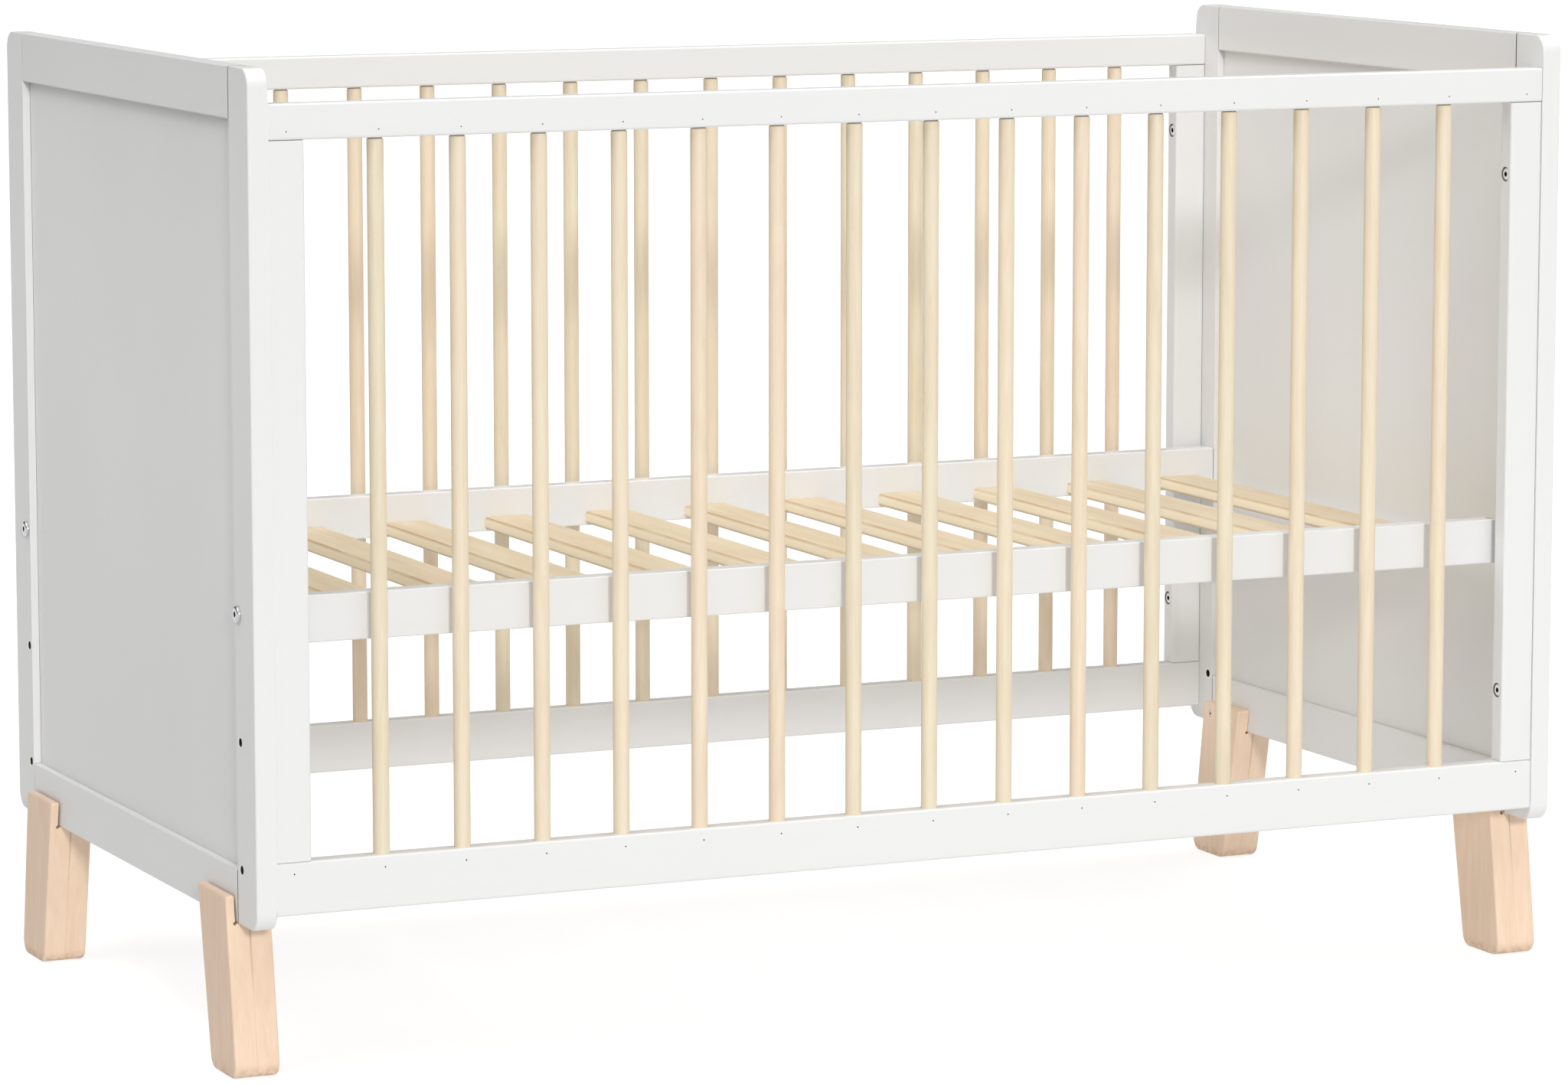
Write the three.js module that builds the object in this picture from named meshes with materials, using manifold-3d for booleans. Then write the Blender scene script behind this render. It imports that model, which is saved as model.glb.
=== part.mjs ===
// Baby crib, full size, in millimetres.
// Frame: +X along the crib's length, +Y from the front side to the rear side, +Z up.
// Origin: on the floor, under the middle of the crib.
import * as THREE from "three";
import { mergeVertices } from "three/addons/utils/BufferGeometryUtils.js";
import Module from "manifold-3d";

const wasm = await Module();
wasm.setup();

// ---- Driving dimensions -------------------------------------------------------------------

const GAP = 0.3; // joint clearance between touching pieces

// Overall
const crib_length = 1240; // over the outer faces of the two ends
const crib_width = 650; // over the front and rear edges of the posts
const crib_top = 842; // top of the ends above the floor
const end_bottom = 130; // bottom of the ends above the floor

// Ends: frame and panel
const end_board = 18; // thickness of posts and end rails
const post_depth = 46;
const post_corner_radius = 15;
const end_top_rail_height = 43.5;
const end_bottom_rail_height = 46;
const panel_thickness = 4;
const groove_depth = 5;
const groove_stop = 8; // the groove ends this far from the top and bottom of a post

// Sides: two rails, two stiles and the spindles
const side_board = 18;
const side_inset = 1.7; // side frames sit back from the posts' edges by this much
const side_bottom = 142;
const side_top = 813;
const side_top_rail_height = 30;
const side_bottom_rail_height = 45;
const stile_width = 31;
const stile_dowel_diameter = 8;
const stile_dowel_length = 12;
const spindle_count = 15;
const spindle_diameter = 14;
const spindle_pitch = 72.3;
const spindle_socket_depth = 12;

// Bolts that hold the side frames to the posts, one pair of heights for every stile
const side_bolt_heights = [251.5, 718.5];
const side_bolt_head_diameter = 12;
const side_bolt_counterbore_diameter = 13.6;
const side_bolt_counterbore_depth = 6;
const side_bolt_head_height = 5.2;
const side_bolt_socket_across = 5;
const side_bolt_shank_diameter = 6;
const side_bolt_reach = 13; // length of shank inside the post

// Mattress base, and the three heights it can be bolted at
const base_heights = [391.5, 284.2, 177];
const base_bolt_inset = 37; // from the post's outer edge to the bolt's axis
const base_bolt_below_rail_top = 13.5;
const base_rail_thickness = 18;
const base_rail_height = 40;
const slat_count = 12;
const slat_pitch = 102.3;
const slat_width = 45;
const slat_thickness = 12.5;
const slat_edge_radius = 5;
const slat_below_rail_top = 26;
const slat_mortise_depth = 11;
const slat_strip_thickness = 4;
const slat_strip_height = 8;

// Base bolts and their cross dowels
const base_bolt_hole_diameter = 7.5;
const base_bolt_shank_diameter = 6;
const base_bolt_head_diameter = 13.8;
const base_bolt_head_height = 3;
const base_bolt_socket_across = 4.6;
const base_bolt_socket_depth = 1.9;
const cross_dowel_diameter = 10;
const cross_dowel_from_end = 25;
const cross_dowel_recess = 2.5;
const rail_end_hole_depth = 34;

// Legs: forked over the end's bottom rail, splayed towards the front or the rear
const leg_outer_cheek = 9;
const leg_inner_cheek = 12.5;
const leg_outer_clearance = 0.8; // the screws pull the inner cheek tight, so the outer one stands off
const cheek_top = 152.5;
const leg_top_from_edge = [53, 124]; // measured from the post's outer edge, at the cheek's top
const leg_foot_from_edge = [30.5, 94]; // the same, on the floor
const leg_foot_radius = 12;
const leg_screw_diameter = 7;
const leg_screw_recess = 2;
const leg_screw_from_edge = [66, 107];
const leg_screw_height = 141.5;

// ---- Derived positions --------------------------------------------------------------------

const half_length = crib_length / 2;
const half_width = crib_width / 2;
const inner_face_x = half_length - end_board; // inner face of an end
const frame_end_x = inner_face_x - GAP; // ends of the side frames and base rails
const rail_end_y = half_width - post_depth - GAP; // ends of the end rails
const side_outer_y = half_width - side_inset;
const side_inner_y = side_outer_y - side_board;
const side_mid_y = side_outer_y - side_board / 2;
const top_rail_bottom = side_top - side_top_rail_height;
const bottom_rail_top = side_bottom + side_bottom_rail_height;
const bolt_y = half_width - base_bolt_inset;
const base_rail_outer_y = bolt_y + base_rail_thickness / 2;
const base_rail_inner_y = bolt_y - base_rail_thickness / 2;
const base_rail_top = base_heights[0] + base_bolt_below_rail_top;
const base_rail_bottom = base_rail_top - base_rail_height;
const slat_top = base_rail_top - slat_below_rail_top;
const slat_mid_z = slat_top - slat_thickness / 2;
const slat_end_y = base_rail_inner_y + slat_mortise_depth - GAP;
const strip_y = base_rail_inner_y + slat_mortise_depth - slat_strip_thickness / 2 - GAP;

// ---- Materials ----------------------------------------------------------------------------

const white = new THREE.MeshStandardMaterial({ color: 0xeeedea, roughness: 0.42, metalness: 0 });
const panel_white = new THREE.MeshStandardMaterial({ color: 0xe9e8e4, roughness: 0.45, metalness: 0 });
const spindle_wood = new THREE.MeshStandardMaterial({ color: 0xe6d6b6, roughness: 0.6, metalness: 0 });
const slat_wood = new THREE.MeshStandardMaterial({ color: 0xecd5a8, roughness: 0.65, metalness: 0 });
const leg_wood = new THREE.MeshStandardMaterial({ color: 0xf0cfae, roughness: 0.55, metalness: 0 });
const chrome = new THREE.MeshStandardMaterial({ color: 0xc8c9cb, roughness: 0.2, metalness: 1 });

// ---- Shape helpers ------------------------------------------------------------------------

const group = new THREE.Group();
group.name = "baby_crib";

function toSolid(geometry) {
  const bare = geometry.clone();
  bare.deleteAttribute("normal");
  bare.deleteAttribute("uv");
  const welded = mergeVertices(bare, 1e-4);
  const mesh = new wasm.Mesh({
    numProp: 3,
    vertProperties: new Float32Array(welded.attributes.position.array),
    triVerts: new Uint32Array(welded.index.array),
  });
  return new wasm.Manifold(mesh);
}

function addNode(name, solid, material) {
  const data = solid.getMesh();
  const geometry = new THREE.BufferGeometry();
  geometry.setAttribute("position", new THREE.BufferAttribute(new Float32Array(data.vertProperties), 3));
  geometry.setIndex(new THREE.BufferAttribute(new Uint32Array(data.triVerts), 1));
  geometry.computeVertexNormals();
  const mesh = new THREE.Mesh(geometry, material);
  mesh.name = name;
  group.add(mesh);
}

function joinAll(solids) {
  return solids.reduce((whole, next) => whole.add(next));
}

function cutAll(solid, tools) {
  return tools.reduce((whole, tool) => whole.subtract(tool), solid);
}

// A box between two corners; the corners may be given in any order.
function boxBetween(a, b) {
  const size = [0, 1, 2].map((i) => Math.abs(a[i] - b[i]));
  const geometry = new THREE.BoxGeometry(size[0], size[1], size[2]);
  geometry.translate((a[0] + b[0]) / 2, (a[1] + b[1]) / 2, (a[2] + b[2]) / 2);
  return toSolid(geometry);
}

// A straight round bar between two points that differ along one axis only.
function bar(from, to, diameter, sides) {
  const start = new THREE.Vector3(...from);
  const end = new THREE.Vector3(...to);
  const length = start.distanceTo(end);
  const geometry = new THREE.CylinderGeometry(diameter / 2, diameter / 2, length, sides);
  const along = end.clone().sub(start).normalize();
  geometry.applyQuaternion(new THREE.Quaternion().setFromUnitVectors(new THREE.Vector3(0, 1, 0), along));
  const middle = start.clone().add(end).multiplyScalar(0.5);
  geometry.translate(middle.x, middle.y, middle.z);
  return toSolid(geometry);
}

// A polygon with each corner rounded by its own radius.
function roundedOutline(corners, radii) {
  const shape = new THREE.Shape();
  const count = corners.length;
  for (let i = 0; i < count; i += 1) {
    const here = new THREE.Vector2(...corners[i]);
    const before = new THREE.Vector2(...corners[(i + count - 1) % count]);
    const after = new THREE.Vector2(...corners[(i + 1) % count]);
    const toBefore = before.clone().sub(here).normalize();
    const toAfter = after.clone().sub(here).normalize();
    const halfAngle = Math.acos(toBefore.dot(toAfter)) / 2;
    const setback = radii[i] / Math.tan(halfAngle);
    const arcStart = here.clone().addScaledVector(toBefore, setback);
    if (i === 0) {
      shape.moveTo(arcStart.x, arcStart.y);
    } else {
      shape.lineTo(arcStart.x, arcStart.y);
    }
    if (radii[i] > 0) {
      const centre = here.clone().add(
        toBefore.clone().add(toAfter).normalize().multiplyScalar(radii[i] / Math.sin(halfAngle)),
      );
      const arcEnd = here.clone().addScaledVector(toAfter, setback);
      const a0 = Math.atan2(arcStart.y - centre.y, arcStart.x - centre.x);
      const a1 = Math.atan2(arcEnd.y - centre.y, arcEnd.x - centre.x);
      const turn = Math.atan2(Math.sin(a1 - a0), Math.cos(a1 - a0));
      const steps = radii[i] > 8 ? 5 : 2;
      for (let k = 1; k <= steps; k += 1) {
        const angle = a0 + (turn * k) / steps;
        shape.lineTo(centre.x + radii[i] * Math.cos(angle), centre.y + radii[i] * Math.sin(angle));
      }
    }
  }
  shape.closePath();
  return shape;
}

function extrude(shape, length, bevel) {
  const geometry = new THREE.ExtrudeGeometry(shape, {
    depth: length - 2 * bevel,
    bevelEnabled: bevel > 0,
    bevelThickness: bevel,
    bevelSize: bevel,
    bevelOffset: -bevel,
    bevelSegments: 1,
    steps: 1,
  });
  geometry.translate(0, 0, bevel);
  return geometry;
}

// An outline drawn in Y and Z, given thickness along X from low_x to high_x.
function plateAlongX(shape, low_x, high_x, bevel) {
  const geometry = extrude(shape, high_x - low_x, bevel);
  geometry.applyMatrix4(
    new THREE.Matrix4().makeBasis(
      new THREE.Vector3(0, 1, 0),
      new THREE.Vector3(0, 0, 1),
      new THREE.Vector3(1, 0, 0),
    ),
  );
  geometry.translate(low_x, 0, 0);
  return toSolid(geometry);
}

// An outline drawn in X and Z, given thickness along Y from low_y to high_y.
function plateAlongY(shape, low_y, high_y, bevel) {
  const geometry = extrude(shape, high_y - low_y, bevel);
  geometry.applyMatrix4(
    new THREE.Matrix4().makeBasis(
      new THREE.Vector3(1, 0, 0),
      new THREE.Vector3(0, 0, 1),
      new THREE.Vector3(0, -1, 0),
    ),
  );
  geometry.translate(0, high_y, 0);
  return toSolid(geometry);
}

function rectangle(low_a, high_a, low_b, high_b) {
  const corners = [[low_a, low_b], [high_a, low_b], [high_a, high_b], [low_a, high_b]];
  return roundedOutline(corners, [0, 0, 0, 0]);
}

function ordered(a, b) {
  return [Math.min(a, b), Math.max(a, b)];
}

// ---- Ends ---------------------------------------------------------------------------------

const EDGE = 1.2; // small bevel on the edges of the white boards

function makePost(side, face) {
  // side is -1 for the left end, +1 for the right; face is -1 for the front, +1 for the rear
  const outer_y = face * half_width;
  const inner_y = face * (half_width - post_depth);
  const corners = [
    [outer_y, end_bottom],
    [inner_y, end_bottom],
    [inner_y, crib_top],
    [outer_y, crib_top],
  ];
  const outline = roundedOutline(corners, [post_corner_radius, 0, 0, post_corner_radius]);
  const [low_x, high_x] = ordered(side * inner_face_x, side * half_length);
  const board = plateAlongX(outline, low_x, high_x, EDGE);

  const mid_x = side * (half_length - end_board / 2);
  const half_groove = panel_thickness / 2 + GAP;
  const tools = [
    boxBetween(
      [mid_x - half_groove, inner_y - face, end_bottom + groove_stop],
      [mid_x + half_groove, inner_y + face * groove_depth, crib_top - groove_stop],
    ),
  ];
  for (const z of base_heights) {
    const start = [side * (inner_face_x - 1), face * bolt_y, z];
    const end = [side * (half_length + 1), face * bolt_y, z];
    tools.push(bar(start, end, base_bolt_hole_diameter, 14));
  }
  for (const z of side_bolt_heights) {
    const start = [side * (inner_face_x - 1), face * side_mid_y, z];
    const end = [side * (inner_face_x + side_bolt_reach + 1), face * side_mid_y, z];
    tools.push(bar(start, end, side_bolt_shank_diameter + 3 * GAP, 10));
  }
  return cutAll(board, tools);
}

// An end rail with a stub tenon at each end and a groove for the panel along one edge.
function makeEndRail(side, low_z, high_z, groove_at_top) {
  const [low_x, high_x] = ordered(side * inner_face_x, side * half_length);
  const board = plateAlongX(rectangle(-rail_end_y, rail_end_y, low_z, high_z), low_x, high_x, EDGE);
  const mid_x = side * (half_length - end_board / 2);
  const half_tenon = panel_thickness / 2;
  const tenon_y = rail_end_y + groove_depth;
  const tenon_low = groove_at_top ? low_z + groove_stop + GAP : low_z + groove_depth;
  const tenon_high = groove_at_top ? high_z - groove_depth : high_z - groove_stop - GAP;
  const tenons = [-1, 1].map((face) =>
    boxBetween(
      [mid_x - half_tenon, face * (rail_end_y - 2), tenon_low],
      [mid_x + half_tenon, face * tenon_y, tenon_high],
    ),
  );
  const groove_edge = groove_at_top ? high_z : low_z;
  const inward = groove_at_top ? -1 : 1;
  const half_groove = panel_thickness / 2 + GAP;
  const groove = boxBetween(
    [mid_x - half_groove, -crib_width, groove_edge - inward],
    [mid_x + half_groove, crib_width, groove_edge + inward * groove_depth],
  );
  return joinAll([board, ...tenons]).subtract(groove);
}

function makePanel(side) {
  const mid_x = side * (half_length - end_board / 2);
  const half_thickness = panel_thickness / 2;
  const reach_y = half_width - post_depth + groove_depth - GAP - 0.1;
  const low_z = end_bottom + end_bottom_rail_height - groove_depth + GAP;
  const high_z = crib_top - end_top_rail_height + groove_depth - GAP;
  return boxBetween([mid_x - half_thickness, -reach_y, low_z], [mid_x + half_thickness, reach_y, high_z]);
}

// ---- Sides --------------------------------------------------------------------------------

function spindleX(index) {
  return (index - (spindle_count - 1) / 2) * spindle_pitch;
}

// A side rail with a blind socket for every spindle and for the dowel of each stile.
function makeSideRail(face, low_z, high_z, socket_at_top) {
  const [low_y, high_y] = ordered(face * side_inner_y, face * side_outer_y);
  const board = plateAlongY(rectangle(-frame_end_x, frame_end_x, low_z, high_z), low_y, high_y, 2);
  const mouth = socket_at_top ? high_z + 1 : low_z - 1;
  const spindle_floor = socket_at_top ? high_z - spindle_socket_depth : low_z + spindle_socket_depth;
  const dowel_floor = socket_at_top ? high_z - stile_dowel_length - 1 : low_z + stile_dowel_length + 1;
  const y = face * side_mid_y;
  const tools = [];
  for (let i = 0; i < spindle_count; i += 1) {
    const x = spindleX(i);
    tools.push(bar([x, y, mouth], [x, y, spindle_floor], spindle_diameter + 3 * GAP, 12));
  }
  for (const side of [-1, 1]) {
    const x = side * (frame_end_x - stile_width / 2);
    tools.push(bar([x, y, mouth], [x, y, dowel_floor], stile_dowel_diameter + 4 * GAP, 8));
  }
  return cutAll(board, tools);
}

// A stile with its end dowels and the two bolts that reach into the post.
function makeStile(side, face) {
  const edge_x = side * (frame_end_x - stile_width);
  const [low_x, high_x] = ordered(side * frame_end_x, edge_x);
  const [low_y, high_y] = ordered(face * side_inner_y, face * side_outer_y);
  const low_z = bottom_rail_top + GAP;
  const high_z = top_rail_bottom - GAP;
  const y = face * side_mid_y;
  let stile = plateAlongY(rectangle(low_x, high_x, low_z, high_z), low_y, high_y, 2);

  const mid_x = (low_x + high_x) / 2;
  const dowel = stile_dowel_length;
  stile = stile.add(bar([mid_x, y, low_z - dowel], [mid_x, y, low_z + 2], stile_dowel_diameter, 10));
  stile = stile.add(bar([mid_x, y, high_z - 2], [mid_x, y, high_z + dowel], stile_dowel_diameter, 10));

  for (const z of side_bolt_heights) {
    const floor_x = edge_x + side * side_bolt_counterbore_depth;
    const head_x = floor_x - side * side_bolt_head_height;
    const tip_x = side * (inner_face_x + side_bolt_reach);
    const counterbore = bar(
      [edge_x - side, y, z],
      [floor_x, y, z],
      side_bolt_counterbore_diameter,
      16,
    );
    const head = bar([head_x, y, z], [floor_x + side, y, z], side_bolt_head_diameter, 16);
    const socket = bar([head_x - side, y, z], [head_x + side * 2.5, y, z], side_bolt_socket_across, 6);
    const shank = bar([floor_x + side, y, z], [tip_x, y, z], side_bolt_shank_diameter, 10);
    stile = stile.subtract(counterbore).add(head.subtract(socket)).add(shank);
  }
  return stile;
}

function makeSpindle(face, index) {
  const x = spindleX(index);
  const y = face * side_mid_y;
  const low_z = bottom_rail_top - spindle_socket_depth + GAP;
  const high_z = top_rail_bottom + spindle_socket_depth - GAP;
  return bar([x, y, low_z], [x, y, high_z], spindle_diameter, 18);
}

// ---- Mattress base ------------------------------------------------------------------------

function slatX(index) {
  return (index - (slat_count - 1) / 2) * slat_pitch;
}

function slatOutline(centre_x, extra) {
  const half = slat_width / 2 + extra;
  const half_z = slat_thickness / 2 + extra;
  const corners = [
    [centre_x - half, slat_mid_z - half_z],
    [centre_x + half, slat_mid_z - half_z],
    [centre_x + half, slat_mid_z + half_z],
    [centre_x - half, slat_mid_z + half_z],
  ];
  const radius = slat_edge_radius + extra;
  return roundedOutline(corners, [radius, radius, radius, radius]);
}

function makeBaseRail(face) {
  const [low_y, high_y] = ordered(face * base_rail_inner_y, face * base_rail_outer_y);
  const outline = rectangle(-frame_end_x, frame_end_x, base_rail_bottom, base_rail_top);
  const board = plateAlongY(outline, low_y, high_y, 1.5);
  const tools = [];
  for (let i = 0; i < slat_count; i += 1) {
    const inner = face * (base_rail_inner_y - 1);
    const deep = face * (base_rail_inner_y + slat_mortise_depth);
    const [from_y, to_y] = ordered(inner, deep);
    tools.push(plateAlongY(slatOutline(slatX(i), GAP), from_y, to_y, 0));
  }
  const half_strip = slat_strip_thickness / 2 + GAP;
  tools.push(
    boxBetween(
      [slatX(0), face * strip_y - half_strip, slat_mid_z - slat_strip_height / 2 - GAP],
      [slatX(slat_count - 1), face * strip_y + half_strip, slat_mid_z + slat_strip_height / 2 + GAP],
    ),
  );
  for (const side of [-1, 1]) {
    const y = face * bolt_y;
    const z = base_heights[0];
    const hole_end = side * (frame_end_x - rail_end_hole_depth);
    tools.push(bar([side * (frame_end_x + 1), y, z], [hole_end, y, z], base_bolt_hole_diameter - 0.5, 10));
    const x = side * (inner_face_x - cross_dowel_from_end);
    const low = base_rail_top - cross_dowel_recess;
    tools.push(bar([x, y, low], [x, y, base_rail_top + 1], cross_dowel_diameter, 14));
  }
  return cutAll(board, tools);
}

// All the slats, held at their spacing by a thin strip that runs inside each base rail.
function makeSlats() {
  const pieces = [];
  for (let i = 0; i < slat_count; i += 1) {
    pieces.push(plateAlongY(slatOutline(slatX(i), 0), -slat_end_y, slat_end_y, 0));
  }
  for (const face of [-1, 1]) {
    const y = face * strip_y;
    pieces.push(
      boxBetween(
        [slatX(0) + 1, y - slat_strip_thickness / 2, slat_mid_z - slat_strip_height / 2],
        [slatX(slat_count - 1) - 1, y + slat_strip_thickness / 2, slat_mid_z + slat_strip_height / 2],
      ),
    );
  }
  return joinAll(pieces);
}

// A button-head bolt with a hexagon socket, through the post at the base's highest position.
function makeBaseBolt(side, face) {
  const y = face * bolt_y;
  const z = base_heights[0];
  const seat_x = side * (half_length + GAP);
  const top_x = seat_x + side * base_bolt_head_height;
  const shoulder_x = seat_x + side * base_bolt_head_height * 0.45;
  const rim = bar([seat_x, y, z], [shoulder_x, y, z], base_bolt_head_diameter, 18);
  const crown = new THREE.CylinderGeometry(
    base_bolt_head_diameter * 0.3,
    base_bolt_head_diameter * 0.5,
    Math.abs(top_x - shoulder_x),
    18,
  );
  crown.applyQuaternion(
    new THREE.Quaternion().setFromUnitVectors(new THREE.Vector3(0, 1, 0), new THREE.Vector3(side, 0, 0)),
  );
  crown.translate((shoulder_x + top_x) / 2, y, z);
  const socket = bar(
    [top_x + side, y, z],
    [top_x - side * base_bolt_socket_depth, y, z],
    base_bolt_socket_across,
    6,
  );
  const shank = bar([seat_x + side * 0.5, y, z], [side * (inner_face_x + GAP), y, z], base_bolt_shank_diameter, 12);
  return joinAll([rim, toSolid(crown), shank]).subtract(socket);
}

// ---- Legs ---------------------------------------------------------------------------------

function makeLeg(side, face) {
  const fromEdge = (distance) => face * (half_width - distance);
  const corners = [
    [fromEdge(leg_foot_from_edge[0]), 0],
    [fromEdge(leg_foot_from_edge[1]), 0],
    [fromEdge(leg_top_from_edge[1]), cheek_top],
    [fromEdge(leg_top_from_edge[0]), cheek_top],
  ];
  const outline = roundedOutline(corners, [leg_foot_radius, leg_foot_radius, 0, 0]);
  const inner_x = side * (inner_face_x - leg_inner_cheek);
  const [low_x, high_x] = ordered(inner_x, side * (half_length + leg_outer_cheek));
  const block = plateAlongX(outline, low_x, high_x, 2);
  const fork = boxBetween(
    [side * (inner_face_x - GAP), -crib_width, end_bottom - GAP],
    [side * (half_length + leg_outer_clearance), crib_width, cheek_top + 10],
  );
  const recesses = leg_screw_from_edge.map((distance) =>
    bar(
      [inner_x - side, fromEdge(distance), leg_screw_height],
      [inner_x + side * leg_screw_recess, fromEdge(distance), leg_screw_height],
      leg_screw_diameter,
      12,
    ),
  );
  return cutAll(block, [fork, ...recesses]);
}

// ---- Assembly -----------------------------------------------------------------------------

const ends = [["left", -1], ["right", 1]];
const faces = [["front", -1], ["rear", 1]];

for (const [end_name, side] of ends) {
  for (const [face_name, face] of faces) {
    addNode(`end_${end_name}_post_${face_name}`, makePost(side, face), white);
  }
  const top_rail = makeEndRail(side, crib_top - end_top_rail_height, crib_top, false);
  const bottom_rail = makeEndRail(side, end_bottom, end_bottom + end_bottom_rail_height, true);
  addNode(`end_${end_name}_top_rail`, top_rail, white);
  addNode(`end_${end_name}_bottom_rail`, bottom_rail, white);
  addNode(`end_${end_name}_panel`, makePanel(side), panel_white);
}

for (const [face_name, face] of faces) {
  const top_rail = makeSideRail(face, top_rail_bottom, side_top, false);
  const bottom_rail = makeSideRail(face, side_bottom, bottom_rail_top, true);
  addNode(`side_${face_name}_top_rail`, top_rail, white);
  addNode(`side_${face_name}_bottom_rail`, bottom_rail, white);
  for (const [end_name, side] of ends) {
    addNode(`side_${face_name}_stile_${end_name}`, makeStile(side, face), white);
  }
  for (let i = 0; i < spindle_count; i += 1) {
    const number = String(i + 1).padStart(2, "0");
    addNode(`spindle_${face_name}_${number}`, makeSpindle(face, i), spindle_wood);
  }
  addNode(`base_rail_${face_name}`, makeBaseRail(face), white);
}
addNode("base_slats", makeSlats(), slat_wood);

for (const [end_name, side] of ends) {
  for (const [face_name, face] of faces) {
    addNode(`leg_${face_name}_${end_name}`, makeLeg(side, face), leg_wood);
    addNode(`base_bolt_${face_name}_${end_name}`, makeBaseBolt(side, face), chrome);
  }
}

export default group;
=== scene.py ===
"""Baby crib: detailed pieces, materials, light and camera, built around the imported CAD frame. Metres."""

import math

import bmesh
import bpy
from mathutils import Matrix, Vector


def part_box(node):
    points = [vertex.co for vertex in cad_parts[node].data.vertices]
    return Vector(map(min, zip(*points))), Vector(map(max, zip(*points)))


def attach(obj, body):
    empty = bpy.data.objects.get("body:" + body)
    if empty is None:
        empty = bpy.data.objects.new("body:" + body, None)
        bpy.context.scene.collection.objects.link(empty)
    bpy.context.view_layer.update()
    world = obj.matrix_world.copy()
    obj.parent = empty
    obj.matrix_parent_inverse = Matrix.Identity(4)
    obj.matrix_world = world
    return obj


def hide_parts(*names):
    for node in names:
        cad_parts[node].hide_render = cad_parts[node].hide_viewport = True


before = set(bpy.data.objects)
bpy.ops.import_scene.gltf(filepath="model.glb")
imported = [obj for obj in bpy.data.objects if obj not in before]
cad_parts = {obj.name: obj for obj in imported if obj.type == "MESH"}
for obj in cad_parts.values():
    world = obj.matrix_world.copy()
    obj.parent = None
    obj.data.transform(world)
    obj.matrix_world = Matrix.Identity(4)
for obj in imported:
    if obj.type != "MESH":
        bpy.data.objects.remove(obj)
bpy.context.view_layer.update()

# ---- Sizes that the CAD boxes don't give, in metres ------------------------------------------

POST_CORNER = 0.015  # rounded outer corners of the posts
POST_WIDTH = 0.046
GROOVE = 0.0046  # grooves that hold the end panels
GROOVE_DEPTH = 0.005
GROOVE_STOP = 0.008  # grooves and tongues end this far from the boards' ends
JOINT = 0.0016  # open line between an end rail and its posts
JOINT_EDGE = 0.0008  # eased edges along that line
EDGE = 0.0016  # rounding of the end boards' edges
SIDE_EDGE = 0.0022  # rounding of the side boards' edges
BASE_EDGE = 0.0015  # rounding of the base rails' edges
LEG_EDGE = 0.0022
LEG_FOOT = 0.012  # rounded corners of the feet
CHEEK_CLEARANCE = 0.0018  # the outer cheeks stand off the frame

BASE_HEIGHTS = (0.3915, 0.2842, 0.1770)
BASE_BOLT_INSET = 0.037  # from a post's outer edge to the bolt's axis
BASE_HOLE = 0.0075
BASE_HOLE_RING = 0.0106  # each empty hole's chamfered ring, a painted highlight in whiter lacquer
BASE_HOLE_SLOPE = 0.35  # the ring's depth, as a share of its width
BASE_BOLT_HEAD = 0.0138
BASE_BOLT_HEIGHT = 0.003
BASE_BOLT_SOCKET = 0.0047
BASE_BOLT_SHANK = 0.006
SOCKET_DEPTH = 0.0022
SOCKET_SHARE = 0.8  # a socket goes no deeper than this share of its head

SIDE_BOLT_HEIGHTS = (0.2515, 0.7185)
SIDE_BOLT_BORE = 0.0132
SIDE_BOLT_BORE_DEPTH = 0.006
SIDE_BOLT_HEAD = 0.0122
SIDE_BOLT_HEIGHT = 0.0057
SIDE_BOLT_SOCKET = 0.0045

SPINDLES = 15
SPINDLE_PITCH = 0.0723
SPINDLE_RADIUS = 0.007
SPINDLE_NECK = 0.0009  # how far a spindle's thinner top end shows below the rail
SPINDLE_NECK_STEP = 0.0010  # how much smaller its radius is there
SPINDLE_SHOULDER = 0.0004  # height of the slope up to the thinner end
SPINDLE_TAPER = 0.001  # height of the taper at a spindle's hidden lower end
PIN_ABOVE_EDGE = 0.007  # pins in the top rail, above its lower edge
PIN_BELOW_EDGE = 0.010  # pins in the bottom rail, below its upper edge
PIN = 0.0014
PIN_DEPTH = 0.0012
STILE_WIDTH = 0.031

SLATS = 12
SLAT_PITCH = 0.1023
SLAT_WIDTH = 0.045
SLAT_THICKNESS = 0.0125
SLAT_EDGE = 0.0045

CROSS_DOWEL = 0.010
CROSS_DOWEL_FROM_END = 0.025
CROSS_DOWEL_RECESS = 0.0025
CROSS_DOWEL_RADIUS = 0.0046
CROSS_DOWEL_HEIGHT = 0.004
CROSS_DOWEL_EDGE = 0.0004

LEG_SCREW = 0.007
LEG_SCREWS_FROM_EDGE = (0.066, 0.107)
LEG_SCREW_HEIGHT = 0.1415
LEG_SCREW_RECESS = 0.002
LEG_SCREW_HEAD = 0.0062
LEG_SCREW_HEAD_HEIGHT = 0.0016
LEG_SCREW_SOCKET = 0.0026
LEG_TOP_FROM_EDGE = (0.053, 0.124)
LEG_FOOT_FROM_EDGE = (0.0305, 0.094)
GAP = 0.0003
FORK_BOTTOM = 0.130 - GAP  # the end frames stand just above this in the legs' forks
FORK_RELIEF = 0.0016  # radius of the relief in the forks' corners

FLOOR_RADIUS = 45.0
FLOOR_DROP = 0.0002  # keeps the floor just clear of the feet's soles
FLOOR_GLOW = 0.74  # the floor's own light, as the camera sees it
FLOOR_BOUNCE = 0.35  # the floor's whiteness, as the crib sees it
FLOOR_FILL = 0.46  # the even glow that fills in the crib's own shadow
CARD_X = -1.6
CARD_ENDS = (-1.2, 1.6)
CARD_FOOT = 0.01
CARD_HEIGHT = 1.0
CARD_THICKNESS = 0.01

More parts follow.
